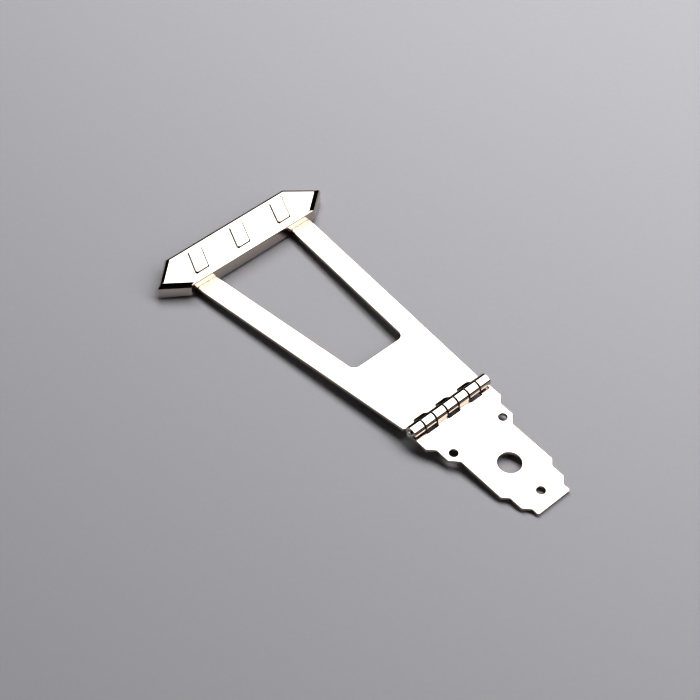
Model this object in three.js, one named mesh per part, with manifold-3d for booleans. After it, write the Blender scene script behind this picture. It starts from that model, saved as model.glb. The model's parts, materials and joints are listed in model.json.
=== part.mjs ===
// Trapeze tailpiece for an arched-top guitar, in millimetres.
//
// A stepped tail plate is screwed to the end of the instrument. A rolled barrel hinge joins it
// to the trapeze frame, whose two arms carry the hollow crossbar that holds the strings.
// X runs along the hinge, Y from the tail plate to the crossbar, and Z up. The piece lies on a
// table as its hinge is stiff: it stands on the tail plate's end and the crossbar's front rim,
// and the hinge between them is clear of the table. The origin is the middle of its box's base.

import * as THREE from 'three';
import { mergeVertices } from 'three/addons/utils/BufferGeometryUtils.js';
import Module from 'manifold-3d';

const wasm = await Module();
wasm.setup();

// Sheet and hinge
const sheet = 1.5;
const barrelLength = 41.3;
const barrelRadius = 2.8;
const knuckleCount = 7;
const knuckleGap = 0.3;
const curlLipGap = 0.35;
const notchClearance = 1.0;
const hingeHeight = 7.0;
const pinClearance = 0.25;
const pinHeadProud = 1.2;
const pinTailRecess = 0.4;
const pinRound = 0.5;

// Tail plate: straight runs along its sides, with 45 degree steps inwards between them
const shoulderRun = 8.8;
const shoulderStep = 2.95;
const collarRun = 6.4;
const collarStep = 3.5;
const waistRun = 21.45;
const waistStep = 2.5;
const ankleRun = 6.05;
const ankleStep = 2.85;
const footRun = 3.2;
const plateCorner = 0.7;
const screwRadius = 1.75;
const screwSpacing = 26.8;
const screwReach = 16.85;
const endScrewInset = 7.1;
const endPinRadius = 4.77;
const endPinReach = 33.9;

// Trapeze frame
const frameHalfAtHinge = 20.1;
const frameHalfAtBar = 31.1;
const barReach = 118.2;
const armWidth = 10.4;
const webReach = 40.2;
const windowCorner = 3.2;
const frameCorner = 1.2;
const headDepth = 7.6;

// Crossbar cover
const barHalfRearShoulder = 34.2;
const barHalfFrontShoulder = 32.1;
const barHalfTip = 45.2;
const barTipReach = 8.8;
const barDepth = 20.0;
const barHeight = 7.6;
const barAboveArms = 4.2;
const barWall = 1.0;
const barEdgeRound = 1.2;
const coverGap = 0.3;

// Raised parallelograms on the cover
const padCount = 3;
const padReach = 9.6;
const padSpacing = 22.5;
const padWidth = 7.4;
const padLength = 12.6;
const padShear = 5.4;
const padHeight = 0.5;
const padDraft = 0.4;
const padCorner = 0.8;

// Strings, their anchor strip and the rivets that hold it
const stringCount = 6;
const stringSpacing = 10.4;
const slotWidth = 1.8;
const slotHeight = 3.2;
const anchorSheet = 1.2;
const anchorHalfLength = 30;
const anchorGap = 0.3;
const anchorRimGap = 0.5;
const anchorMargin = 3.0;
const rivetSpacing = 41.6;
const rivetRadius = 1.4;
const rivetCollar = 2.4;
const rivetHead = 2.4;
const rivetHeadHeight = 0.9;
const rivetSideGap = 0.3;
const rivetEndGap = 0.3;

// Brazing metal in the corner between each arm and the cover's rear wall
const brazeLeg = 1.5;
const brazeGap = 0.3;
const brazeLip = 0.15;
const brazeInset = 0.5;

// Facets, and how far a cutting solid runs past what it cuts
const curlSides = 26;
const roundSides = 28;
const cornerSides = 4;
const bevelSides = 3;
const overrun = 2;

// Levels of the sheet below the hinge axis, in the frame of each leaf
const sheetTop = sheet - barrelRadius;
const sheetBottom = -barrelRadius;
const coverTop = sheetTop + barAboveArms;
const coverRim = coverTop - barHeight;
const coverCeiling = coverTop - barWall;
const notchReach = barrelRadius + notchClearance;
const knucklePitch = barrelLength / knuckleCount;
const barFront = barReach + barDepth;
const padMiddle = barReach + padReach;

const metals = {
  plate: { color: 0xe6e4e0, roughness: 0.12, metalness: 1 },
  frame: { color: 0xeae8e4, roughness: 0.1, metalness: 1 },
  cover: { color: 0xecebe8, roughness: 0.08, metalness: 1 },
  pin: { color: 0xb9b9ba, roughness: 0.25, metalness: 1 },
  inner: { color: 0xa9a49c, roughness: 0.4, metalness: 1 },
  braze: { color: 0xe3c3a2, roughness: 0.3, metalness: 1 }
};

// Closed solids from three.js geometries, and back again
function toSolid(geometry) {
  const bare = geometry.clone();
  bare.deleteAttribute('normal');
  bare.deleteAttribute('uv');
  const merged = mergeVertices(bare);
  const vertProperties = new Float32Array(merged.attributes.position.array);
  const triVerts = new Uint32Array(merged.index.array);
  return new wasm.Manifold(new wasm.Mesh({ numProp: 3, vertProperties, triVerts }));
}

function toGeometry(solid) {
  const mesh = solid.getMesh();
  const corners = new Float32Array(mesh.vertProperties);
  const geometry = new THREE.BufferGeometry();
  geometry.setAttribute('position', new THREE.BufferAttribute(corners, mesh.numProp));
  geometry.setIndex(new THREE.BufferAttribute(new Uint32Array(mesh.triVerts), 1));
  geometry.computeVertexNormals();
  return geometry;
}

function named(name, solid, finish) {
  const mesh = new THREE.Mesh(toGeometry(solid), new THREE.MeshStandardMaterial(finish));
  mesh.name = name;
  return mesh;
}

// Outlines
const point = (x, y) => new THREE.Vector2(x, y);

function arcPoints(centre, radius, from, to, steps) {
  const points = [];
  for (let i = 0; i <= steps; i += 1) {
    const angle = from + ((to - from) * i) / steps;
    points.push(point(centre.x + radius * Math.cos(angle), centre.y + radius * Math.sin(angle)));
  }
  return points;
}

function circleOutline(centre, radius) {
  return arcPoints(centre, radius, 0, 2 * Math.PI, roundSides).slice(0, roundSides);
}

// Rounds the corners of a closed outline by arcs that touch both of their edges, and leaves
// the last sharpCount corners as they are
function roundedOutline(corners, radius, sharpCount = 0) {
  const points = [];
  corners.forEach((corner, i) => {
    if (i >= corners.length - sharpCount) {
      points.push(corner);
      return;
    }
    const before = corners[(i + corners.length - 1) % corners.length];
    const after = corners[(i + 1) % corners.length];
    const back = before.clone().sub(corner).normalize();
    const ahead = after.clone().sub(corner).normalize();
    const half = Math.acos(THREE.MathUtils.clamp(back.dot(ahead), -1, 1)) / 2;
    const room = Math.min(before.distanceTo(corner), after.distanceTo(corner)) / 2;
    const fit = Math.min(radius, room * Math.tan(half));
    const centre = corner.clone().add(back.clone().add(ahead).setLength(fit / Math.sin(half)));
    const start = corner.clone().addScaledVector(back, fit / Math.tan(half)).sub(centre).angle();
    const end = corner.clone().addScaledVector(ahead, fit / Math.tan(half)).sub(centre).angle();
    const turn = Math.atan2(Math.sin(end - start), Math.cos(end - start));
    points.push(...arcPoints(centre, fit, start, start + turn, cornerSides));
  });
  return points;
}

// Moves every edge of a convex, anticlockwise outline inwards by one distance
function insetOutline(corners, distance) {
  return corners.map((corner, i) => {
    const before = corners[(i + corners.length - 1) % corners.length];
    const after = corners[(i + 1) % corners.length];
    const incoming = corner.clone().sub(before).normalize();
    const outgoing = after.clone().sub(corner).normalize();
    const inward = point(-incoming.y - outgoing.y, incoming.x + outgoing.x).normalize();
    const spread = point(-incoming.y, incoming.x).dot(inward);
    return corner.clone().addScaledVector(inward, distance / spread);
  });
}

function mirrored(half) {
  return [...half, ...half.map((p) => point(-p.x, p.y)).reverse()];
}

// Solids between two levels, across the width, and round an axis
function slab(outline, low, high) {
  const options = { depth: high - low, bevelEnabled: false };
  return toSolid(new THREE.ExtrudeGeometry(new THREE.Shape(outline), options).translate(0, 0, low));
}

function block(x0, x1, y0, y1, z0, z1) {
  const box = new THREE.BoxGeometry(x1 - x0, y1 - y0, z1 - z0);
  return toSolid(box.translate((x0 + x1) / 2, (y0 + y1) / 2, (z0 + z1) / 2));
}

// A section drawn in Y and Z, run along X
function bar(section, x0, x1) {
  const options = { depth: x1 - x0, bevelEnabled: false };
  const run = new THREE.ExtrudeGeometry(new THREE.Shape(section), options);
  const turn = new THREE.Matrix4().makeBasis(
    new THREE.Vector3(0, 1, 0),
    new THREE.Vector3(0, 0, 1),
    new THREE.Vector3(1, 0, 0)
  );
  return toSolid(run.applyMatrix4(turn).translate(x0, 0, 0));
}

// An outline whose top edge is eased by a bevel, and whose foot is square
function easedSlab(outline, low, high, rise, draft) {
  const easing = {
    depth: high - low,
    bevelThickness: rise,
    bevelSize: draft,
    bevelOffset: -draft,
    bevelSegments: bevelSides
  };
  const eased = new THREE.ExtrudeGeometry(new THREE.Shape(outline), easing);
  const around = new THREE.Box2().setFromPoints(outline).expandByScalar(overrun);
  const foot = block(
    around.min.x,
    around.max.x,
    around.min.y,
    around.max.y,
    low - 2 * rise - overrun,
    low
  );
  return toSolid(eased.translate(0, 0, low - rise)).subtract(foot);
}

// Rolled knuckles: the sheet runs under the pin and curls up and over it
function ownsKnuckle(index, leafOrder) {
  return index % 2 === leafOrder;
}

function curlSection(side) {
  const lipAngle = Math.asin((barrelRadius - sheet - curlLipGap) / barrelRadius);
  const from = -Math.PI / 2;
  const to = Math.PI + lipAngle;
  const centre = point(0, 0);
  const outer = arcPoints(centre, barrelRadius, from, to, curlSides);
  const inner = arcPoints(centre, barrelRadius - sheet, to, from, curlSides);
  const rooted = -notchReach - overrun;
  const section = [point(rooted, sheetBottom), ...outer, ...inner, point(rooted, sheetTop)];
  return side < 0 ? section : section.map((p) => point(-p.x, p.y)).reverse();
}

// side is -1 for the leaf that lies towards -Y and 1 for the other
function withKnuckles(leaf, side, leafOrder) {
  const section = curlSection(side);
  let result = leaf;
  for (let i = 0; i < knuckleCount; i += 1) {
    if (ownsKnuckle(i, leafOrder)) {
      const start = i * knucklePitch - barrelLength / 2;
      const low = i === 0 ? start : start + knuckleGap / 2;
      const high = start + knucklePitch - (i === knuckleCount - 1 ? 0 : knuckleGap / 2);
      result = result.add(bar(section, low, high));
    }
  }
  return result;
}

// Tail plate
function tailPlateLength() {
  const runs = shoulderRun + collarRun + waistRun + ankleRun + footRun;
  return runs + shoulderStep + collarStep + waistStep + ankleStep;
}

function tailPlate() {
  const half = [point(barrelLength / 2, -notchReach)];
  const steps = [
    [shoulderRun, shoulderStep],
    [collarRun, collarStep],
    [waistRun, waistStep],
    [ankleRun, ankleStep]
  ];
  let x = barrelLength / 2;
  let y = 0;
  steps.forEach(([run, step]) => {
    y -= run;
    half.push(point(x, y));
    x -= step;
    y -= step;
    half.push(point(x, y));
  });
  half.push(point(x, -tailPlateLength()));
  const outline = roundedOutline(mirrored(half), plateCorner).reverse();
  const flat = slab(outline, sheetBottom, sheetTop);
  const squareEnd = block(
    -barrelLength / 2,
    barrelLength / 2,
    -notchReach - plateCorner,
    -notchReach,
    sheetBottom,
    sheetTop
  );
  const holes = [
    [point(-screwSpacing / 2, -screwReach), screwRadius],
    [point(screwSpacing / 2, -screwReach), screwRadius],
    [point(0, endScrewInset - tailPlateLength()), screwRadius],
    [point(0, -endPinReach), endPinRadius]
  ];
  let leaf = flat.add(squareEnd);
  holes.forEach(([centre, radius]) => {
    leaf = leaf.subtract(slab(circleOutline(centre, radius), sheetBottom - overrun, sheetTop + overrun));
  });
  return named('tail_plate', withKnuckles(leaf, -1, 0), metals.plate);
}

function hingePin() {
  const radius = barrelRadius - sheet - pinClearance;
  const start = -barrelLength / 2 - pinHeadProud;
  const length = barrelLength / 2 - pinTailRecess - start;
  const head = point(radius - pinRound, pinRound);
  const tail = point(radius - pinRound, length - pinRound);
  const profile = [
    point(0, 0),
    ...arcPoints(head, pinRound, -Math.PI / 2, 0, cornerSides),
    ...arcPoints(tail, pinRound, 0, Math.PI / 2, cornerSides),
    point(0, length)
  ];
  const lathe = new THREE.LatheGeometry(profile, roundSides).rotateZ(-Math.PI / 2);
  return named('hinge_pin', toSolid(lathe.translate(start, 0, 0)), metals.pin);
}

// Trapeze frame
const frameSlope = (frameHalfAtBar - frameHalfAtHinge) / barReach;
const frameHalf = (y) => frameHalfAtHinge + frameSlope * y;
const headStart = barReach + barWall + coverGap;
const headEnd = headStart + headDepth;

function trapezeFrame() {
  const outer = [
    point(-frameHalf(notchReach), notchReach),
    point(frameHalf(notchReach), notchReach),
    point(frameHalf(headEnd), headEnd),
    point(-frameHalf(headEnd), headEnd)
  ];
  const opening = [
    point(armWidth - frameHalf(webReach), webReach),
    point(frameHalf(webReach) - armWidth, webReach),
    point(frameHalf(headStart) - armWidth, headStart),
    point(armWidth - frameHalf(headStart), headStart)
  ];
  const gap = roundedOutline(opening, windowCorner, 2);
  let leaf = slab(roundedOutline(outer, frameCorner, 2), sheetBottom, sheetTop);
  leaf = leaf.subtract(slab(gap, sheetBottom - overrun, sheetTop + overrun));
  [-1, 1].forEach((side) => {
    const hole = circleOutline(rivetCentre(side), rivetRadius + rivetSideGap);
    leaf = leaf.subtract(slab(hole, sheetBottom - overrun, sheetTop + overrun));
  });
  return named('trapeze_frame', withKnuckles(leaf, 1, 1), metals.frame);
}

// Crossbar cover
function barOutline() {
  return [
    point(-barHalfRearShoulder, barReach),
    point(barHalfRearShoulder, barReach),
    point(barHalfTip, barReach + barTipReach),
    point(barHalfFrontShoulder, barFront),
    point(-barHalfFrontShoulder, barFront),
    point(-barHalfTip, barReach + barTipReach)
  ];
}

function padOutline(x) {
  const back = padMiddle - padLength / 2;
  const front = padMiddle + padLength / 2;
  const corners = [
    point(x - padWidth / 2 - padShear / 2, back),
    point(x + padWidth / 2 - padShear / 2, back),
    point(x + padWidth / 2 + padShear / 2, front),
    point(x - padWidth / 2 + padShear / 2, front)
  ];
  return roundedOutline(corners, padCorner);
}

function stringSlots(y0, y1, foot) {
  const slots = [];
  for (let i = 0; i < stringCount; i += 1) {
    const x = (i - (stringCount - 1) / 2) * stringSpacing;
    const crown = coverRim + slotHeight;
    const mouth = [point(x - slotWidth / 2, foot), point(x + slotWidth / 2, foot)];
    const top = arcPoints(point(x, crown), slotWidth / 2, 0, Math.PI, cornerSides);
    const standing = new THREE.ExtrudeGeometry(new THREE.Shape([...mouth, ...top]), {
      depth: y1 - y0,
      bevelEnabled: false
    });
    slots.push(toSolid(standing.rotateX(Math.PI / 2).translate(0, y1, 0)));
  }
  return slots;
}

function crossbarCover() {
  const outline = barOutline();
  let cover = easedSlab(outline, coverRim, coverTop, barEdgeRound, barEdgeRound);
  for (let i = 0; i < padCount; i += 1) {
    const outlineOfPad = padOutline((i - (padCount - 1) / 2) * padSpacing);
    const foot = coverTop - padHeight;
    cover = cover.add(easedSlab(outlineOfPad, foot, coverTop + padHeight, padHeight, padDraft));
  }
  cover = cover.subtract(slab(insetOutline(outline, barWall), coverRim - overrun, coverCeiling));
  [-1, 1].forEach((side) => {
    const inner = side * (frameHalf(barReach) - armWidth - coverGap);
    const outer = side * (frameHalf(headStart) + coverGap);
    const mouth = block(
      Math.min(inner, outer),
      Math.max(inner, outer),
      barReach - overrun,
      barReach + barWall + overrun,
      coverRim - overrun,
      sheetTop + coverGap
    );
    cover = cover.subtract(mouth);
  });
  stringSlots(barFront - barWall - overrun, barFront + overrun, coverRim - overrun).forEach((slot) => {
    cover = cover.subtract(slot);
  });
  return named('crossbar_cover', cover, metals.cover);
}

// String anchor: a leaf under the cover's ceiling, and a slotted flange behind its front wall
const leafTop = coverCeiling - anchorGap;
const leafBottom = leafTop - anchorSheet;
const flangeFront = barFront - barWall - anchorGap;
const flangeBack = flangeFront - anchorSheet;

function rivetCentre(side) {
  return point((side * rivetSpacing) / 2, headStart + headDepth / 2);
}

function stringAnchor() {
  const leafBack = rivetCentre(1).y - anchorMargin;
  const section = [
    point(leafBack, leafBottom),
    point(flangeBack, leafBottom),
    point(flangeBack, coverRim + anchorRimGap),
    point(flangeFront, coverRim + anchorRimGap),
    point(flangeFront, leafTop),
    point(leafBack, leafTop)
  ];
  let anchor = bar(section, -anchorHalfLength, anchorHalfLength);
  stringSlots(flangeBack - overrun, flangeFront + overrun, coverRim - overrun).forEach((slot) => {
    anchor = anchor.subtract(slot);
  });
  [-1, 1].forEach((side) => {
    const hole = circleOutline(rivetCentre(side), rivetRadius + rivetSideGap);
    anchor = anchor.subtract(slab(hole, leafBottom - overrun, leafTop + overrun));
  });
  return named('string_anchor', anchor, metals.inner);
}

// A rivet with a domed head below the frame's head strip, and a collar that spaces the anchor
// from the strip
function anchorRivet(side, name) {
  const centre = rivetCentre(side);
  const seat = sheetBottom - rivetEndGap;
  const flatness = rivetHeadHeight / rivetHead;
  const round = arcPoints(point(0, 0), rivetHead, -Math.PI / 2, 0, cornerSides);
  const profile = [
    ...round.map((p) => point(p.x, seat + p.y * flatness)),
    point(rivetRadius, seat),
    point(rivetRadius, sheetTop + rivetEndGap),
    point(rivetCollar, sheetTop + rivetEndGap),
    point(rivetCollar, leafBottom - rivetEndGap),
    point(rivetRadius, leafBottom - rivetEndGap),
    point(rivetRadius, leafTop),
    point(0, leafTop)
  ];
  const lathe = new THREE.LatheGeometry(profile, roundSides).rotateX(Math.PI / 2);
  return named(name, toSolid(lathe.translate(centre.x, centre.y, 0)), metals.inner);
}

// Brazing metal with a hollow face and a lip at each end of it
function brazeFillet(side, name) {
  const wall = barReach - brazeGap;
  const floor = sheetTop + brazeGap;
  const centre = point(wall - brazeLeg, floor + brazeLeg);
  const radius = brazeLeg - brazeLip;
  const section = [
    point(wall - brazeLeg, floor),
    point(wall, floor),
    point(wall, floor + brazeLeg),
    ...arcPoints(centre, radius, 0, -Math.PI / 2, cornerSides)
  ];
  const outer = side * (frameHalf(barReach - brazeLeg) - brazeInset);
  const inner = side * (frameHalf(barReach) - armWidth + brazeInset);
  const fillet = bar(section, Math.min(inner, outer), Math.max(inner, outer));
  return named(name, fillet, metals.braze);
}

// Each leaf tilts about the hinge until its far end meets the table
function restTilt(reach, drop) {
  return Math.asin(hingeHeight / Math.hypot(reach, drop)) - Math.atan2(drop, reach);
}

const plateBody = new THREE.Group();
plateBody.add(tailPlate(), hingePin());
plateBody.rotation.x = restTilt(tailPlateLength(), -sheetBottom);

const trapezeBody = new THREE.Group();
trapezeBody.add(trapezeFrame(), crossbarCover(), stringAnchor());
trapezeBody.add(anchorRivet(-1, 'anchor_rivet_left'), anchorRivet(1, 'anchor_rivet_right'));
trapezeBody.add(brazeFillet(-1, 'braze_left'), brazeFillet(1, 'braze_right'));
trapezeBody.rotation.x = -restTilt(barFront, -coverRim);

const tailpiece = new THREE.Group();
tailpiece.add(plateBody, trapezeBody);
const bounds = new THREE.Box3().setFromObject(tailpiece, true);
tailpiece.position.set(0, -(bounds.min.y + bounds.max.y) / 2, -bounds.min.z);

export default tailpiece;
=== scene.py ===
# A trapeze tailpiece of polished nickel plate on a pale table, under a soft light of two
# panels, with a lit card standing in front of it.
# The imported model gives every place. Sizes are in millimetres, and meshes are in metres.

import json
import math
from collections import namedtuple

import bmesh
import bpy
import numpy as np
from mathutils import Matrix, Vector
from mathutils.geometry import delaunay_2d_cdt


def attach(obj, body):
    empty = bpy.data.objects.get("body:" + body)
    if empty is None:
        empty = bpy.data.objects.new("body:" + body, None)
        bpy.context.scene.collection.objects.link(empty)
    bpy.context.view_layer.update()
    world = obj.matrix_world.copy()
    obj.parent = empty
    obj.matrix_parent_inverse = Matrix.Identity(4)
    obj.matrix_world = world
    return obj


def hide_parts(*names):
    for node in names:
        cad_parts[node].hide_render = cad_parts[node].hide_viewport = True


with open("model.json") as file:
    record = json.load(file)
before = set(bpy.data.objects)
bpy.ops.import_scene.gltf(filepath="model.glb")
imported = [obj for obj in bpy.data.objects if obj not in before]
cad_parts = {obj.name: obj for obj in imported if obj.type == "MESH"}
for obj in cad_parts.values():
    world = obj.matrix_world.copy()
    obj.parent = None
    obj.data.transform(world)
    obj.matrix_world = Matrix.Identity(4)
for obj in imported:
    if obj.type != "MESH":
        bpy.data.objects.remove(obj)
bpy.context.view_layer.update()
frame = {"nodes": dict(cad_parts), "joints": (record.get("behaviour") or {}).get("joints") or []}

MM = 0.001
TINY = 1e-5

# Sheet and hinge
SHEET = 1.5
SHEET_EASE = 0.26
BARREL_LENGTH = 41.3
BARREL_RADIUS = 2.8
KNUCKLES = 7
KNUCKLE_GAP = 0.42
NOTCH_REACH = 3.75
NOTCH_CORNER = 0.45
TONGUE_CORNER = 0.32
PIN_RADIUS = 1.2
PIN_PROUD = 1.15
PIN_RECESS = 0.4
PIN_ROUND = 0.5

# How each kind of knuckle ends: degrees from its top to where the roll turns straight, and
# the gap that its lip leaves over its own sheet
OPEN_ROLL = (93, 1.15)
CLOSED_ROLL = (80, 0.06)
FRAME_ROLL = (46, 0.1)

# Tail plate: (straight run, 45 degree step inwards) along each side
PLATE_STEPS = [(8.8, 2.95), (6.4, 3.5), (21.45, 2.5), (6.05, 2.85)]
FOOT_RUN = 3.2
PLATE_CORNER = 0.75
SCREW_RADIUS = 1.75
SCREW_SPACING = 26.8
SCREW_REACH = 16.85
END_SCREW_INSET = 7.1
END_PIN_RADIUS = 4.77
END_PIN_REACH = 33.9

# Trapeze frame
FRAME_HALF_AT_HINGE = 20.1
FRAME_HALF_AT_BAR = 31.1
FRAME_SHOULDER = 0.9
BAR_REACH = 118.2
ARM_WIDTH = 10.4
WEB_REACH = 40.2
WINDOW_CORNER = 3.2
HEAD_CORNER = 1.2
HEAD_START = 119.5
HEAD_DEPTH = 7.6
RIVET_SPACING = 41.6
RIVET_HOLE = 1.7

# Crossbar cover
BAR_HALF_REAR_SHOULDER = 34.2
BAR_HALF_FRONT_SHOULDER = 32.8
BAR_HALF_TIP = 45.2
BAR_TIP_REACH = 8.8
BAR_DEPTH = 20.0
BAR_HEIGHT = 7.3
BAR_REAR_LIFT = 1.4
BAR_ABOVE_ARMS = 3.9
BAR_WALL = 1.0
BAR_REAR_ROUND = 0.9
BAR_END_ROUND = 2.6
BAR_FRONT_ROUND = 2.1
BAR_CORNER = 0.45
BAR_LEAST_CORNER = BAR_CORNER / 8
BAR_INNER_ROUND = 0.6
MOUTH_CLEARANCE = 0.3
MOUTH_SEAT = 0.05
PADS = 3
PAD_REACH = 9.6
PAD_SPACING = 22.5
PAD_WIDTH = 7.4
PAD_LENGTH = 12.6
PAD_SHEAR = 5.4
PAD_HEIGHT = 0.79
PAD_SLOPE = 0.62
PAD_CORNER = 1.1
STRINGS = 6
STRING_SPACING = 10.4
SLOT_WIDTH = 1.8
SLOT_HEIGHT = 3.2

# Brazing metal in the corner between each arm and the cover's rear wall. Its leg wanders in
# two waves, given in radians over its length, and thins at its ends by a power of the place.
BRAZE_LEG = 0.42
BRAZE_WANDER = 0.06
BRAZE_WAVES = (9.1, 23)
BRAZE_END_POWER = 8
BRAZE_END_LEAST = 0.1
BRAZE_SEAM = 0.02
BRAZE_INSET = 0.25

# Eased edges of the cover and of the pieces inside it: width, facets, and the least angle in
# degrees of an edge that is eased
RIM_EASE = (0.14, 3, 50)
INNER_EASE = (0.12, 2, 40)
FACE_WEIGHT = 100

# Facets
CORNER_STEPS = 8
EASE_STEPS = 4
CIRCLE_STEPS = 72
BEND_RUNGS = 72
ROUND_STEPS = 12
PAD_STEPS = 10
BRAZE_STATIONS = 48

# Finishes: each pair of tints, and each pair of least and greatest roughness
NICKEL_TINTS = ((0.62, 0.56, 0.51, 1), (0.58, 0.52, 0.47, 1))
PIN_TINTS = ((0.72, 0.71, 0.70, 1), (0.60, 0.59, 0.58, 1))
INNER_TINTS = ((0.58, 0.55, 0.50, 1), (0.44, 0.41, 0.37, 1))
BRAZE_TINTS = ((0.80, 0.66, 0.54, 1), (0.66, 0.54, 0.44, 1))
PAPER_TINTS = ((0.640, 0.633, 0.662, 1), (0.660, 0.653, 0.682, 1))
SHEET_POLISH = (0.05, 0.13)
COVER_POLISH = (0.04, 0.11)
PIN_POLISH = (0.16, 0.3)
INNER_POLISH = (0.32, 0.5)
BRAZE_POLISH = (0.14, 0.28)
PAPER_ROUGHNESS = 0.75
PAPER_SPECULAR = 0.2

# Stretches of noise: over the first one tint gives way to the other, and over the others
# plated and dull metal grow rougher
CLOUD_RANGE = (0.35, 0.65)
WEAR_RANGE = (0.12, 0.42)
GRAIN_RANGE = (0.3, 0.7)

# Camera, fitted to the edges in the photograph: degrees, millimetres from the hinge axis, and
# the clip in metres
CAMERA_AZIMUTH = -42.04
CAMERA_ELEVATION = 48.07
CAMERA_DISTANCE = 704.5
CAMERA_TARGET = (-4.7, 52.3)
CAMERA_LENS = 88.96
CAMERA_CLIP = (0.01, 20.0)
SENSOR_WIDTH = 36.0

# Lights: centres and sizes in metres, and radiances
SOFTBOXES = [((0.45, 0.42, 0.90), (0.68, 1.16)), ((0.59, -0.61, 0.90), (0.46, 0.90))]
SOFTBOX_RADIANCE = 2.5
CARD_CENTRE = (0.63, -1.06, 0.645)
CARD_SIZE = (0.40, 0.49)
CARD_RADIANCE = 1.9

# Room: (sine of the elevation, radiance) up its walls, and the glows on them, each with its
# direction, the cosine at which it starts and its radiance, which it reaches where one part in
# GLOW_CORE of its spread is left
ROOM_STOPS = [(0.0, 0.012), (0.26, 0.010), (0.52, 0.008), (0.75, 0.006)]
ROOM_BLUE = 1.03
WALL_GLOWS = [((-0.55, 0.72, 0.42), 0.81, 0.24), ((0.66, -0.62, 0.42), 0.95, 0.30)]
GLOW_CORE = 3

# Table: half its width in metres, and its drop below the part in millimetres
FLOOR_HALF = 3.0
FLOOR_DROP = 0.02

SHEET_TOP = SHEET - BARREL_RADIUS
SHEET_BOTTOM = -BARREL_RADIUS
NEUTRAL_RADIUS = BARREL_RADIUS - SHEET / 2
PLATE_LENGTH = FOOT_RUN + sum(run + step for run, step in PLATE_STEPS)
BAR_FRONT = BAR_REACH + BAR_DEPTH
BAR_TIP = BAR_REACH + BAR_TIP_REACH
PAD_MIDDLE = BAR_REACH + PAD_REACH
COVER_TOP = SHEET_TOP + BAR_ABOVE_ARMS
COVER_RIM = COVER_TOP - BAR_HEIGHT
COVER_CEILING = COVER_TOP - BAR_WALL
HINGE = Vector(frame["joints"][0]["pos_m"]) / MM

LoopPoint = namedtuple("LoopPoint", "at normal rung")


def rest_tilt(reach, drop):
    """The tilt of a leaf whose lowest edge, at reach and drop from the hinge axis, lies on
    the table."""
    return math.asin(HINGE.z / math.hypot(reach, drop)) - math.atan2(drop, reach)


def leaf_to_row(tilt):
    """From a leaf's own axes, with the hinge axis at the origin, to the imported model's."""
    return Matrix.Scale(MM, 4) @ Matrix.Translation(HINGE) @ Matrix.Rotation(tilt, 4, "X")


PLATE_TO_ROW = leaf_to_row(rest_tilt(PLATE_LENGTH, -SHEET_BOTTOM))
TRAPEZE_TO_ROW = leaf_to_row(-rest_tilt(BAR_FRONT, -COVER_RIM))


# Outlines: closed loops with the material on their left, and normals that point out of it

def rounded_loop(corners):
    """corners are (x, y, radius)."""
    loop = []
    for i, (x, y, radius) in enumerate(corners):
        here = Vector((x, y))
        arriving = (here - Vector(corners[i - 1][:2])).normalized()
        leaving = (Vector(corners[(i + 1) % len(corners)][:2]) - here).normalized()
        cross = arriving.x * leaving.y - arriving.y * leaving.x
        turn = math.atan2(cross, arriving.dot(leaving))
        side = math.copysign(1, turn)
        out = Vector((arriving.y, -arriving.x))
        start = here - arriving * radius * math.tan(abs(turn) / 2)
        centre = start - out * radius * side
        for k in range(CORNER_STEPS + 1):
            normal = Matrix.Rotation(turn * k / CORNER_STEPS, 2) @ out
            loop.append(LoopPoint(centre + normal * radius * side, normal, None))
    return loop


def round_hole(centre, radius):
    loop = []
    for k in range(CIRCLE_STEPS):
        angle = -2 * math.pi * k / CIRCLE_STEPS
        spoke = Vector((math.cos(angle), math.sin(angle)))
        loop.append(LoopPoint(Vector(centre) + spoke * radius, -spoke, None))
    return loop


def with_rungs(loop, rungs):
    """Adds points where the loop's lengthways edges cross the rungs of the bends."""
    full = []
    for i, here in enumerate(loop):
        full.append(here)
        after = loop[(i + 1) % len(loop)]
        if abs(after.at.x - here.at.x) > TINY:
            continue
        low, high = sorted((here.at.y, after.at.y))
        crossed = [k for k, y in enumerate(rungs) if low + TINY < y < high - TINY]
        if (rungs[0] > rungs[-1]) != (after.at.y < here.at.y):
            crossed.reverse()
        full += [LoopPoint(Vector((here.at.x, rungs[k])), here.normal, k) for k in crossed]
    return full


def moved_in(corners, insets):
    """Moves the edge that leaves each corner of a closed polygon inwards by its own distance."""
    moved = []
    for i, (x, y) in enumerate(corners):
        here = Vector((x, y))
        arriving = (here - Vector(corners[i - 1])).normalized()
        leaving = (Vector(corners[(i + 1) % len(corners)]) - here).normalized()
        cross = arriving.x * leaving.y - arriving.y * leaving.x
        moved.append(here + (leaving * insets[i - 1] - arriving * insets[i]) / cross)
    return moved


def mirrored(half):
    """The corners of a whole outline, from those of its right half."""
    return half + [(-x, y, r) for x, y, r in half[::-1]]


def fill(loops, rungs=()):
    """Triangles over the region that the loops bound, as indices into their joined points.
    rungs are extra edges that the triangles keep."""
    points = [p for loop in loops for p in loop]
    edges = list(rungs)
    base = 0
    for loop in loops:
        edges += [(base + i, base + (i + 1) % len(loop)) for i in range(len(loop))]
        base += len(loop)
    flat, _, faces, origins, _, _ = delaunay_2d_cdt(points, edges, [], 0, TINY / 10)
    starts = np.array([points[i] for i, _ in edges[len(rungs):]])
    ends = np.array([points[j] for _, j in edges[len(rungs):]])
    kept = []
    for face in faces:
        middle = sum((flat[v] for v in face), Vector((0, 0))) / len(face)
        spans = (starts[:, 1] > middle.y) != (ends[:, 1] > middle.y)
        rise = np.where(spans, ends[:, 1] - starts[:, 1], 1)
        crossing = starts[:, 0] + (middle.y - starts[:, 1]) / rise * (ends[:, 0] - starts[:, 0])
        if np.count_nonzero(spans & (crossing > middle.x)) % 2:
            kept.append([origins[v][0] for v in face])
    return kept


# Pieces

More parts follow.
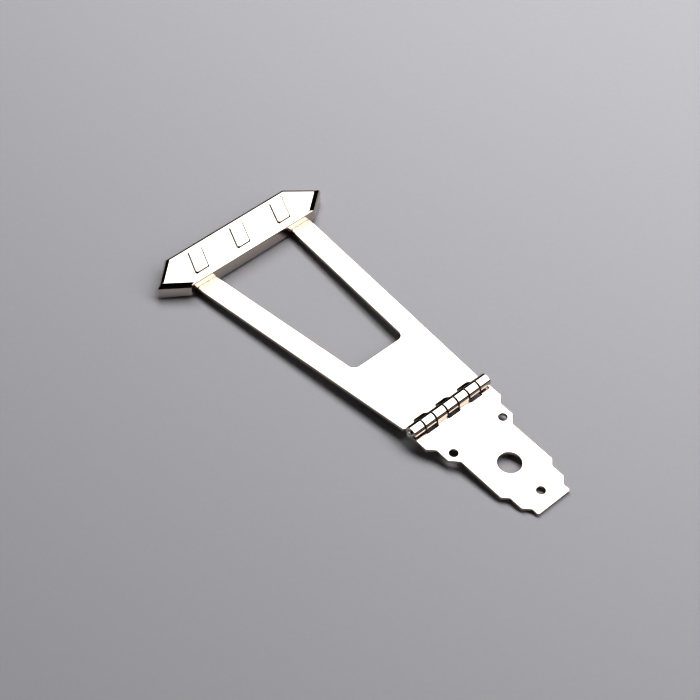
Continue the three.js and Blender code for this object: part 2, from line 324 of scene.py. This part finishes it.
def piece(name, mesh, body, replaced, material):
    made = bpy.data.objects.new(name, mesh)
    bpy.context.scene.collection.objects.link(made)
    mesh.materials.append(material)
    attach(made, body)
    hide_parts(*replaced)
    return made


def closed_mesh(name, points, faces, to_row):
    mesh = bpy.data.meshes.new(name)
    mesh.from_pydata([to_row @ Vector(p) for p in points], [], faces)
    work = bmesh.new()
    work.from_mesh(mesh)
    bmesh.ops.recalc_face_normals(work, faces=work.faces)
    work.to_mesh(mesh)
    work.free()
    mesh.shade_smooth()
    return mesh


def ring_faces(count, rings, base=0):
    """Quads between closed rings of count points each, whose first point is number base."""
    faces = []
    for low in range(base, base + (rings - 1) * count, count):
        high = low + count
        for i in range(count):
            j = (i + 1) % count
            faces.append((low + i, low + j, high + j, high + i))
    return faces


def lofted(rings):
    """Points and quads of closed rings that have as many points each."""
    return [p for ring in rings for p in ring], ring_faces(len(rings[0]), len(rings))


def capped(rings):
    """Closed rings lofted into a solid, with a face over the first and over the last."""
    points, faces = lofted(rings)
    count = len(rings[0])
    return points, faces + [range(count), range(len(points) - count, len(points))]


def add_faces(points, faces, more_points, more_faces):
    """Adds to the points and faces, and returns the number of the first new point."""
    base = len(points)
    points += more_points
    faces += [[base + v for v in face] for face in more_faces]
    return base


def ease_edges(made, name, width, segments, degrees):
    """Rounds an object's sharp edges, and keeps its flat faces flat in shading."""
    ease = made.modifiers.new(name, "BEVEL")
    ease.width = width * MM
    ease.segments = segments
    ease.limit_method = "ANGLE"
    ease.angle_limit = math.radians(degrees)
    level = made.modifiers.new("flat_faces", "WEIGHTED_NORMAL")
    level.weight = FACE_WEIGHT
    return level


def sheet_mesh(name, loops, place, turn, to_row):
    """Sheet metal with eased edges: flat loops, laid out and bent by place and turn."""
    rings = []
    for k in range(EASE_STEPS + 1):
        angle = math.pi / 2 * k / EASE_STEPS
        inset, rise = SHEET_EASE * (1 - math.sin(angle)), SHEET_EASE * (1 - math.cos(angle))
        rings.append((inset, SHEET_BOTTOM + rise, math.sin(angle), -math.cos(angle)))
    upper = [(inset, SHEET_TOP + SHEET_BOTTOM - z, out, -up) for inset, z, out, up in rings]
    rings += upper[::-1]
    points, normals, faces = [], [], []
    bottom_cap, top_cap = [], []
    for loop in loops:
        base = len(points)
        count = len(loop)
        for inset, z, out, up in rings:
            for p in loop:
                at = p.at - p.normal * inset
                points.append(place(at.x, at.y, z))
                normals.append(turn(at.x, at.y, p.normal.x * out, p.normal.y * out, up))
        faces += ring_faces(count, len(rings), base)
        bottom_cap += range(base, base + count)
        top_cap += range(len(points) - count, len(points))
    flat = [[p.at - p.normal * SHEET_EASE for p in loop] for loop in loops]
    rungs = {}
    for i, p in enumerate(p for loop in loops for p in loop):
        if p.rung is not None:
            rungs.setdefault(p.rung, []).append((p.at.x, i))
    across = []
    for crossed in rungs.values():
        crossed.sort()
        across += [(crossed[i][1], crossed[i + 1][1]) for i in range(0, len(crossed) - 1, 2)]
    for triangle in fill(flat, across):
        faces.append([top_cap[v] for v in triangle])
        faces.append([bottom_cap[v] for v in reversed(triangle)])
    mesh = closed_mesh(name, points, faces, to_row)
    spin = to_row.to_3x3().normalized()
    mesh.normals_split_custom_set_from_vertices([(spin @ n).normalized() for n in normals])
    return mesh


def leaf_mesh(name, side, body_corners, holes, rolls, to_row):
    """A hinge leaf. Its outline is in x and in the distance from the hinge axis, and its
    tongues run on past the axis, where they curl up and over. side is -1 towards -Y.
    rolls gives the kind of roll of each knuckle of this leaf."""
    pitch = BARREL_LENGTH / KNUCKLES
    tongues = []
    arcs = {}
    for knuckle, (degrees, lip) in sorted(rolls.items()):
        low = knuckle * pitch - BARREL_LENGTH / 2 + (KNUCKLE_GAP / 2 if knuckle else 0)
        high = (knuckle + 1) * pitch - BARREL_LENGTH / 2
        if knuckle < KNUCKLES - 1:
            high -= KNUCKLE_GAP / 2
        past_top = math.radians(degrees)
        fall = BARREL_RADIUS * (1 + math.cos(past_top)) - SHEET - lip
        arcs[knuckle] = math.pi + past_top
        straight = max(0, fall / math.sin(past_top))
        tongues.append((low, high, -NEUTRAL_RADIUS * arcs[knuckle] - straight))
    corners = list(body_corners)
    for low, high, tip in tongues:
        if low > -BARREL_LENGTH / 2 + TINY:
            corners.append((low, NOTCH_REACH, NOTCH_CORNER))
        corners.append((low, tip, TONGUE_CORNER))
        corners.append((high, tip, TONGUE_CORNER))
        if high < BARREL_LENGTH / 2 - TINY:
            corners.append((high, NOTCH_REACH, NOTCH_CORNER))
    longest = min(tip for _, _, tip in tongues)
    rungs = [longest * k / BEND_RUNGS for k in range(BEND_RUNGS)]
    loops = [with_rungs(rounded_loop(corners), rungs)] + holes

    def bend_at(x, s):
        """The angle that the sheet has turned through, and how far it has run straight since."""
        if s >= 0:
            return 0, 0
        knuckle = min(KNUCKLES - 1, max(0, math.floor((x + BARREL_LENGTH / 2) / pitch)))
        bend = min(-s / NEUTRAL_RADIUS, arcs.get(knuckle, 0))
        return bend, -s - bend * NEUTRAL_RADIUS

    def place(x, s, z):
        bend, straight = bend_at(x, s)
        along = max(0, s) + z * math.sin(bend) - straight * math.cos(bend)
        return (x, side * along, z * math.cos(bend) + straight * math.sin(bend))

    def turn(x, s, across, along, up):
        bend, _ = bend_at(x, s)
        sine, cosine = math.sin(bend), math.cos(bend)
        return Vector((across, side * (along * cosine + up * sine), up * cosine - along * sine))

    return sheet_mesh(name, loops, place, turn, to_row)


# Materials

def add_node(tree, kind, links=(), **values):
    node = tree.nodes.new(kind)
    for key, value in values.items():
        setattr(node, key, value)
    for socket, value in dict(links).items():
        if isinstance(value, bpy.types.NodeSocket):
            tree.links.new(value, node.inputs[socket])
        else:
            node.inputs[socket].default_value = value
    return node


def fresh_material(name, metallic=1.0):
    material = bpy.data.materials.new(name)
    material.use_nodes = True
    tree = material.node_tree
    shader = tree.nodes["Principled BSDF"]
    shader.inputs["Metallic"].default_value = metallic
    place = add_node(tree, "ShaderNodeTexCoord").outputs["Object"]
    return material, tree, shader, place


def noise(tree, place, scale, detail, distortion=0.0, stretch=(1, 1, 1)):
    spread = add_node(tree, "ShaderNodeMapping", {"Vector": place, "Scale": stretch})
    return add_node(
        tree,
        "ShaderNodeTexNoise",
        {"Vector": spread.outputs[0], "Scale": scale, "Detail": detail, "Distortion": distortion},
    ).outputs[0]


def ranged(tree, value, given, wanted, smooth=False):
    """Takes a value from one range to another, and holds it at their ends."""
    return add_node(
        tree,
        "ShaderNodeMapRange",
        {0: value, 1: given[0], 2: given[1], 3: wanted[0], 4: wanted[1]},
        interpolation_type="SMOOTHSTEP" if smooth else "LINEAR",
    ).outputs[0]


def math_node(tree, operation, *values):
    return add_node(tree, "ShaderNodeMath", dict(enumerate(values)), operation=operation).outputs[0]


def mixed(tree, share, first, second):
    return add_node(
        tree, "ShaderNodeMix", {0: share, 6: first, 7: second}, data_type="RGBA"
    ).outputs[2]


def finish_metal(tree, shader, clouds, tints, roughness, height, distance, strength):
    """Joins up a metal: its tints by the clouds, its roughness, and its bumps by the height."""
    share = ranged(tree, clouds, CLOUD_RANGE, (0.0, 1.0))
    bump = add_node(
        tree, "ShaderNodeBump", {"Height": height, "Distance": distance, "Strength": strength}
    )
    tree.links.new(mixed(tree, share, *tints), shader.inputs["Base Color"])
    tree.links.new(roughness, shader.inputs["Roughness"])
    tree.links.new(bump.outputs[0], shader.inputs["Normal"])


def plated(name, polish, wave, grain):
    """Polished nickel plate: two close tints in soft clouds, faint polishing lines, and a
    sheet that isn't quite flat. wave and grain are the heights of its swell and its lines."""
    material, tree, shader, place = fresh_material(name)
    clouds = noise(tree, place, scale=70.0, detail=4.0)
    lines = noise(tree, place, scale=900.0, detail=2.0, stretch=(0.9, 0.05, 1.0))
    smudges = noise(tree, place, scale=120.0, detail=5.0, distortion=0.6)
    swell = noise(tree, place, scale=85.0, detail=1.0)
    roughness = ranged(tree, math_node(tree, "MULTIPLY", lines, smudges), WEAR_RANGE, polish)
    height = math_node(
        tree,
        "ADD",
        math_node(tree, "MULTIPLY", swell, wave),
        math_node(tree, "MULTIPLY", lines, grain),
    )
    finish_metal(
        tree, shader, clouds, NICKEL_TINTS, roughness, height, distance=0.001, strength=1.0
    )
    return material


def dull_metal(name, tints, polish):
    """Drawn or brazed metal: two tints in broken clouds, and fine lines along it."""
    material, tree, shader, place = fresh_material(name)
    clouds = noise(tree, place, scale=260.0, detail=6.0, distortion=0.4)
    lines = noise(tree, place, scale=1500.0, detail=3.0, stretch=(0.08, 1.0, 1.0))
    roughness = ranged(tree, lines, GRAIN_RANGE, polish)
    finish_metal(tree, shader, clouds, tints, roughness, lines, distance=0.00002, strength=0.6)
    return material


plate_metal = plated("nickel_plate", SHEET_POLISH, wave=0.012, grain=0.0006)
frame_metal = plated("nickel_frame", SHEET_POLISH, wave=0.012, grain=0.0006)
cover_metal = plated("nickel_cover", COVER_POLISH, wave=0.010, grain=0.0005)
pin_metal = dull_metal("pin_steel", PIN_TINTS, PIN_POLISH)
inner_metal = dull_metal("inner_steel", INNER_TINTS, INNER_POLISH)
braze_metal = dull_metal("braze_metal", BRAZE_TINTS, BRAZE_POLISH)


# Tail plate

def tail_plate():
    x, s = BARREL_LENGTH / 2, 0
    right = []
    for run, step in PLATE_STEPS:
        s += run
        right.append((x, s, PLATE_CORNER))
        x, s = x - step, s + step
        right.append((x, s, PLATE_CORNER))
    right.append((x, PLATE_LENGTH, PLATE_CORNER))
    holes = [
        round_hole((-SCREW_SPACING / 2, SCREW_REACH), SCREW_RADIUS),
        round_hole((SCREW_SPACING / 2, SCREW_REACH), SCREW_RADIUS),
        round_hole((0, PLATE_LENGTH - END_SCREW_INSET), SCREW_RADIUS),
        round_hole((0, END_PIN_REACH), END_PIN_RADIUS),
    ]
    rolls = {0: OPEN_ROLL, 2: CLOSED_ROLL, 4: CLOSED_ROLL, 6: OPEN_ROLL}
    mesh = leaf_mesh("tail_plate_sheet", -1, mirrored(right), holes, rolls, PLATE_TO_ROW)
    piece("tail_plate_sheet", mesh, "tail", ["tail_plate"], plate_metal)


def hinge_pin():
    start = -BARREL_LENGTH / 2 - PIN_PROUD
    end = BARREL_LENGTH / 2 - PIN_RECESS
    arc = [math.pi / 2 * k / CORNER_STEPS for k in range(CORNER_STEPS + 1)]
    flat = PIN_RADIUS - PIN_ROUND
    profile = [(flat + PIN_ROUND * math.sin(t), start + PIN_ROUND * (1 - math.cos(t))) for t in arc]
    profile += [(flat + PIN_ROUND * math.cos(t), end - PIN_ROUND * (1 - math.sin(t))) for t in arc]
    circle = [2 * math.pi * k / CIRCLE_STEPS for k in range(CIRCLE_STEPS)]
    to_x = Matrix.Rotation(math.pi / 2, 3, "Y")
    rings = [
        [to_x @ Vector((radius * math.cos(t), radius * math.sin(t), along)) for t in circle]
        for radius, along in profile
    ]
    mesh = closed_mesh("hinge_pin_rod", *capped(rings), PLATE_TO_ROW)
    piece("hinge_pin_rod", mesh, "tail", ["hinge_pin"], pin_metal)


# Trapeze frame

def frame_half(s):
    """Half the frame's width at a distance from the hinge axis."""
    return FRAME_HALF_AT_HINGE + (FRAME_HALF_AT_BAR - FRAME_HALF_AT_HINGE) * s / BAR_REACH


def trapeze_frame():
    head_end = HEAD_START + HEAD_DEPTH
    right = [
        (frame_half(NOTCH_REACH), NOTCH_REACH, FRAME_SHOULDER),
        (frame_half(head_end), head_end, HEAD_CORNER),
    ]
    near, far = frame_half(WEB_REACH) - ARM_WIDTH, frame_half(HEAD_START) - ARM_WIDTH
    window = rounded_loop(
        [
            (-near, WEB_REACH, WINDOW_CORNER),
            (-far, HEAD_START, HEAD_CORNER),
            (far, HEAD_START, HEAD_CORNER),
            (near, WEB_REACH, WINDOW_CORNER),
        ]
    )
    rivet_line = HEAD_START + HEAD_DEPTH / 2
    holes = [window]
    holes += [round_hole((side * RIVET_SPACING / 2, rivet_line), RIVET_HOLE) for side in (-1, 1)]
    rolls = {knuckle: FRAME_ROLL for knuckle in range(1, KNUCKLES, 2)}
    mesh = leaf_mesh("trapeze_frame_sheet", 1, mirrored(right), holes, rolls, TRAPEZE_TO_ROW)
    piece("trapeze_frame_sheet", mesh, "trapeze", ["trapeze_frame"], frame_metal)


# Crossbar cover

def bar_ring(insets, heights):
    """A loop of the bar's outline. insets and heights are for its rear, its ends and its
    front."""
    corners = [
        (-BAR_HALF_REAR_SHOULDER, BAR_REACH),
        (BAR_HALF_REAR_SHOULDER, BAR_REACH),
        (BAR_HALF_TIP, BAR_TIP),
        (BAR_HALF_FRONT_SHOULDER, BAR_FRONT),
        (-BAR_HALF_FRONT_SHOULDER, BAR_FRONT),
        (-BAR_HALF_TIP, BAR_TIP),
    ]
    rear, end, front = zip(insets, heights)
    edges = [rear, end, end, front, end, end]
    inner = moved_in(corners, [inset for inset, _ in edges])
    radius = max(BAR_CORNER - max(insets), BAR_LEAST_CORNER)
    loop = rounded_loop([(p.x, p.y, radius) for p in inner])
    ring = []
    for i, p in enumerate(loop):
        corner, step = divmod(i, CORNER_STEPS + 1)
        before, after = edges[corner - 1][1], edges[corner][1]
        ring.append((p.at.x, p.at.y, before + (after - before) * step / CORNER_STEPS))
    return ring


def rim_ring(inset):
    """The lower rim, which is higher at the rear."""
    ring = []
    for x, y, _ in bar_ring([inset] * 3, [0] * 3):
        ring.append((x, y, COVER_RIM + BAR_REAR_LIFT * (BAR_FRONT - y) / BAR_DEPTH))
    return ring


def pad_ring(x, inset, z):
    """A loop of a raised parallelogram, whose middle is at x."""
    back, front = PAD_MIDDLE - PAD_LENGTH / 2, PAD_MIDDLE + PAD_LENGTH / 2
    left, right = x - PAD_WIDTH / 2, x + PAD_WIDTH / 2
    corners = [
        (left - PAD_SHEAR / 2, back),
        (right - PAD_SHEAR / 2, back),
        (right + PAD_SHEAR / 2, front),
        (left + PAD_SHEAR / 2, front),
    ]
    inner = moved_in(corners, [inset] * len(corners))
    loop = rounded_loop([(p.x, p.y, PAD_CORNER - inset) for p in inner])
    return [(p.at.x, p.at.y, z) for p in loop]


def cover_shell():
    """The cover before its openings are cut."""
    quarter = [math.pi / 2 * k / ROUND_STEPS for k in range(ROUND_STEPS + 1)]
    radii = (BAR_REAR_ROUND, BAR_END_ROUND, BAR_FRONT_ROUND)
    rings = []
    for t in quarter:
        insets = [radius * (1 - math.sin(t)) for radius in radii]
        heights = [COVER_TOP - radius * (1 - math.cos(t)) for radius in radii]
        rings.append(bar_ring(insets, heights))
    rings += [rim_ring(0), rim_ring(BAR_WALL)]
    for t in reversed(quarter):
        inset = BAR_WALL + BAR_INNER_ROUND * (1 - math.sin(t))
        height = COVER_CEILING - BAR_INNER_ROUND * (1 - math.cos(t))
        rings.append(bar_ring([inset] * 3, [height] * 3))
    points, faces = lofted(rings)
    count = len(rings[0])
    faces.append(range(len(points) - count, len(points)))
    around = list(range(count))
    loops = [[Vector(p[:2]) for p in rings[0]]]
    for i in range(PADS):
        x = (i - (PADS - 1) / 2) * PAD_SPACING
        steps = []
        for k in range(PAD_STEPS + 1):
            rise = PAD_HEIGHT * (1 - math.cos(math.pi * k / PAD_STEPS)) / 2
            steps.append(pad_ring(x, PAD_SLOPE * k / PAD_STEPS, COVER_TOP + rise))
        count = len(steps[0])
        base = add_faces(points, faces, *lofted(steps))
        faces.append(range(len(points) - count, len(points)))
        around += range(base, base + count)
        loops.append([Vector(p[:2]) for p in steps[0]])
    faces += [[around[v] for v in triangle] for triangle in fill(loops)]
    return closed_mesh("crossbar_cover_shell", points, faces, TRAPEZE_TO_ROW)


def prism(outline, y0, y1):
    """A closed prism along Y over an outline in X and Z."""
    return capped([[(x, y, z) for x, z in outline] for y in (y0, y1)])


def cover_cutters():
    """The arms' mouths in the rear wall, and the string slots in the front wall."""
    below = COVER_RIM - BAR_WALL
    points, faces = [], []
    inner = frame_half(BAR_REACH) - ARM_WIDTH - MOUTH_CLEARANCE
    outer = frame_half(HEAD_START) + MOUTH_CLEARANCE
    ceiling = SHEET_TOP - MOUTH_SEAT
    for side in (-1, 1):
        low, high = sorted((side * inner, side * outer))
        mouth = [(low, below), (high, below), (high, ceiling), (low, ceiling)]
        add_faces(points, faces, *prism(mouth, BAR_REACH - BAR_WALL, BAR_REACH + 2 * BAR_WALL))
    half = SLOT_WIDTH / 2
    for i in range(STRINGS):
        x = (i - (STRINGS - 1) / 2) * STRING_SPACING
        slot = [(x - half, below), (x + half, below)]
        for k in range(CORNER_STEPS + 1):
            t = math.pi * k / CORNER_STEPS
            slot.append((x + half * math.cos(t), COVER_RIM + SLOT_HEIGHT + half * math.sin(t)))
        add_faces(points, faces, *prism(slot, BAR_FRONT - 2 * BAR_WALL, BAR_FRONT + BAR_WALL))
    return closed_mesh("cover_cutters", points, faces, TRAPEZE_TO_ROW)


def cut(mesh, cutters):
    """The mesh less the cutters."""
    whole = bpy.data.objects.new("cut_whole", mesh)
    tool = bpy.data.objects.new("cut_tool", cutters)
    for made in (whole, tool):
        bpy.context.scene.collection.objects.link(made)
    boolean = whole.modifiers.new("cut", "BOOLEAN")
    boolean.object = tool
    boolean.operation = "DIFFERENCE"
    boolean.solver = "EXACT"
    ready = whole.evaluated_get(bpy.context.evaluated_depsgraph_get())
    result = bpy.data.meshes.new_from_object(ready)
    for made in (whole, tool):
        bpy.data.objects.remove(made)
    return result


def crossbar_cover():
    mesh = cut(cover_shell(), cover_cutters())
    mesh.name = "crossbar_cover_shell"
    made = piece(
        "crossbar_cover_shell", mesh, "trapeze", ["crossbar_cover"], cover_metal
    )
    ease_edges(made, "rim_ease", *RIM_EASE).keep_sharp = True


# Brazing metal

def braze(side):
    """A thin fillet of metal along the arm's joint, with a hollow face that wanders a little."""
    outer = side * (frame_half(BAR_REACH) - BRAZE_INSET)
    inner = side * (frame_half(BAR_REACH) - ARM_WIDTH + BRAZE_INSET)
    wall, top = BAR_REACH - BRAZE_SEAM, SHEET_TOP + BRAZE_SEAM
    rings = []
    for i in range(BRAZE_STATIONS + 1):
        share = i / BRAZE_STATIONS
        x = inner + (outer - inner) * share
        leg = BRAZE_LEG + BRAZE_WANDER * sum(math.sin(w * share + side) for w in BRAZE_WAVES)
        leg *= math.sqrt(max(BRAZE_END_LEAST, 1 - (2 * share - 1) ** BRAZE_END_POWER))
        ring = [(x, wall, top)]
        for k in range(CORNER_STEPS + 1):
            t = math.pi / 2 * k / CORNER_STEPS
            ring.append((x, wall - leg * (1 - math.sin(t)), top + leg * (1 - math.cos(t))))
        rings.append(ring)
    word = "left" if side < 0 else "right"
    name = f"braze_{word}_fillet"
    mesh = closed_mesh(name, *capped(rings), TRAPEZE_TO_ROW)
    piece(name, mesh, "trapeze", [f"braze_{word}"], braze_metal)


def dress_node(name):
    """Keeps a CAD node's shape, with eased edges and the finish of the inner pieces."""
    node = frame["nodes"][name]
    node.data.materials.clear()
    node.data.materials.append(inner_metal)
    node.data.shade_smooth()
    ease_edges(node, "ease", *INNER_EASE)


tail_plate()
hinge_pin()
trapeze_frame()
crossbar_cover()
for side in (-1, 1):
    braze(side)
for name in ("string_anchor", "anchor_rivet_left", "anchor_rivet_right"):
    dress_node(name)


# Table, lights, room and camera

def table_top():
    half = FLOOR_HALF
    mesh = bpy.data.meshes.new("table_top")
    corners = [(-half, -half, 0), (half, -half, 0), (half, half, 0), (-half, half, 0)]
    mesh.from_pydata(corners, [], [(0, 1, 2, 3)])
    floor = bpy.data.objects.new("table_top", mesh)
    floor.location.z = -FLOOR_DROP * MM
    bpy.context.scene.collection.objects.link(floor)
    material, tree, shader, place = fresh_material("table_paper", metallic=0.0)
    shader.inputs["Roughness"].default_value = PAPER_ROUGHNESS
    shader.inputs["Specular IOR Level"].default_value = PAPER_SPECULAR
    grain = noise(tree, place, scale=350.0, detail=4.0)
    tree.links.new(mixed(tree, grain, *PAPER_TINTS), shader.inputs["Base Color"])
    mesh.materials.append(material)


def panel(name, centre, size, radiance, tilt=0):
    """A rectangular light that shines down, or towards +Y when tilted by a quarter turn."""
    lamp = bpy.data.lights.new(name, "AREA")
    lamp.shape = "RECTANGLE"
    lamp.size, lamp.size_y = size
    lamp.energy = radiance * math.pi * lamp.size * lamp.size_y
    light = bpy.data.objects.new(name, lamp)
    light.location = centre
    light.rotation_euler = (tilt, 0, 0)
    bpy.context.scene.collection.objects.link(light)


def lights():
    """The soft light, whose front panel is the narrower one, and the card."""
    for i, (centre, size) in enumerate(SOFTBOXES):
        panel(f"softbox_{i + 1}", centre, size, SOFTBOX_RADIANCE)
    panel("card", CARD_CENTRE, CARD_SIZE, CARD_RADIANCE, math.pi / 2)


def room():
    """A dark room whose lower walls catch some light."""
    world = bpy.data.worlds.new("room")
    world.use_nodes = True
    tree = world.node_tree
    place = add_node(tree, "ShaderNodeTexCoord").outputs["Generated"]
    height = add_node(tree, "ShaderNodeSeparateXYZ", {0: place}).outputs[2]
    ramp = add_node(tree, "ShaderNodeValToRGB", {0: height})
    elements = ramp.color_ramp.elements
    ramp.color_ramp.interpolation = "EASE"
    elements[0].position = ROOM_STOPS[0][0]
    elements[1].position = ROOM_STOPS[-1][0]
    for position, _ in ROOM_STOPS[1:-1]:
        elements.new(position)
    for element, (_, grey) in zip(elements, ROOM_STOPS):
        element.color = (grey, grey, grey * ROOM_BLUE, 1)
    lit = ramp.outputs[0]
    for toward, start, radiance in WALL_GLOWS:
        near = add_node(
            tree, "ShaderNodeVectorMath", {0: place, 1: toward}, operation="DOT_PRODUCT"
        ).outputs["Value"]
        core = 1 - (1 - start) / GLOW_CORE
        glow = ranged(tree, near, (start, core), (0.0, radiance), smooth=True)
        grey = add_node(tree, "ShaderNodeCombineXYZ", {0: glow, 1: glow, 2: glow}).outputs[0]
        lit = add_node(
            tree, "ShaderNodeVectorMath", {0: lit, 1: grey}, operation="ADD"
        ).outputs[0]
    tree.links.new(lit, tree.nodes["Background"].inputs["Color"])
    bpy.context.scene.world = world


def photo_camera():
    azimuth, elevation = math.radians(CAMERA_AZIMUTH), math.radians(CAMERA_ELEVATION)
    back = Vector(
        (
            math.sin(azimuth) * math.cos(elevation),
            -math.cos(azimuth) * math.cos(elevation),
            math.sin(elevation),
        )
    )
    target = Vector((CAMERA_TARGET[0], HINGE.y + CAMERA_TARGET[1], 0))
    data = bpy.data.cameras.new("camera")
    data.lens = CAMERA_LENS
    data.sensor_width = SENSOR_WIDTH
    data.clip_start, data.clip_end = CAMERA_CLIP
    camera = bpy.data.objects.new("camera", data)
    camera.location = (target + back * CAMERA_DISTANCE) * MM
    camera.rotation_mode = "QUATERNION"
    camera.rotation_quaternion = (-back).to_track_quat("-Z", "Y")
    bpy.context.scene.collection.objects.link(camera)
    bpy.context.scene.camera = camera


table_top()
lights()
room()
photo_camera()
bpy.context.scene.view_settings.view_transform = "Standard"
bpy.context.scene.view_settings.look = "High Contrast"
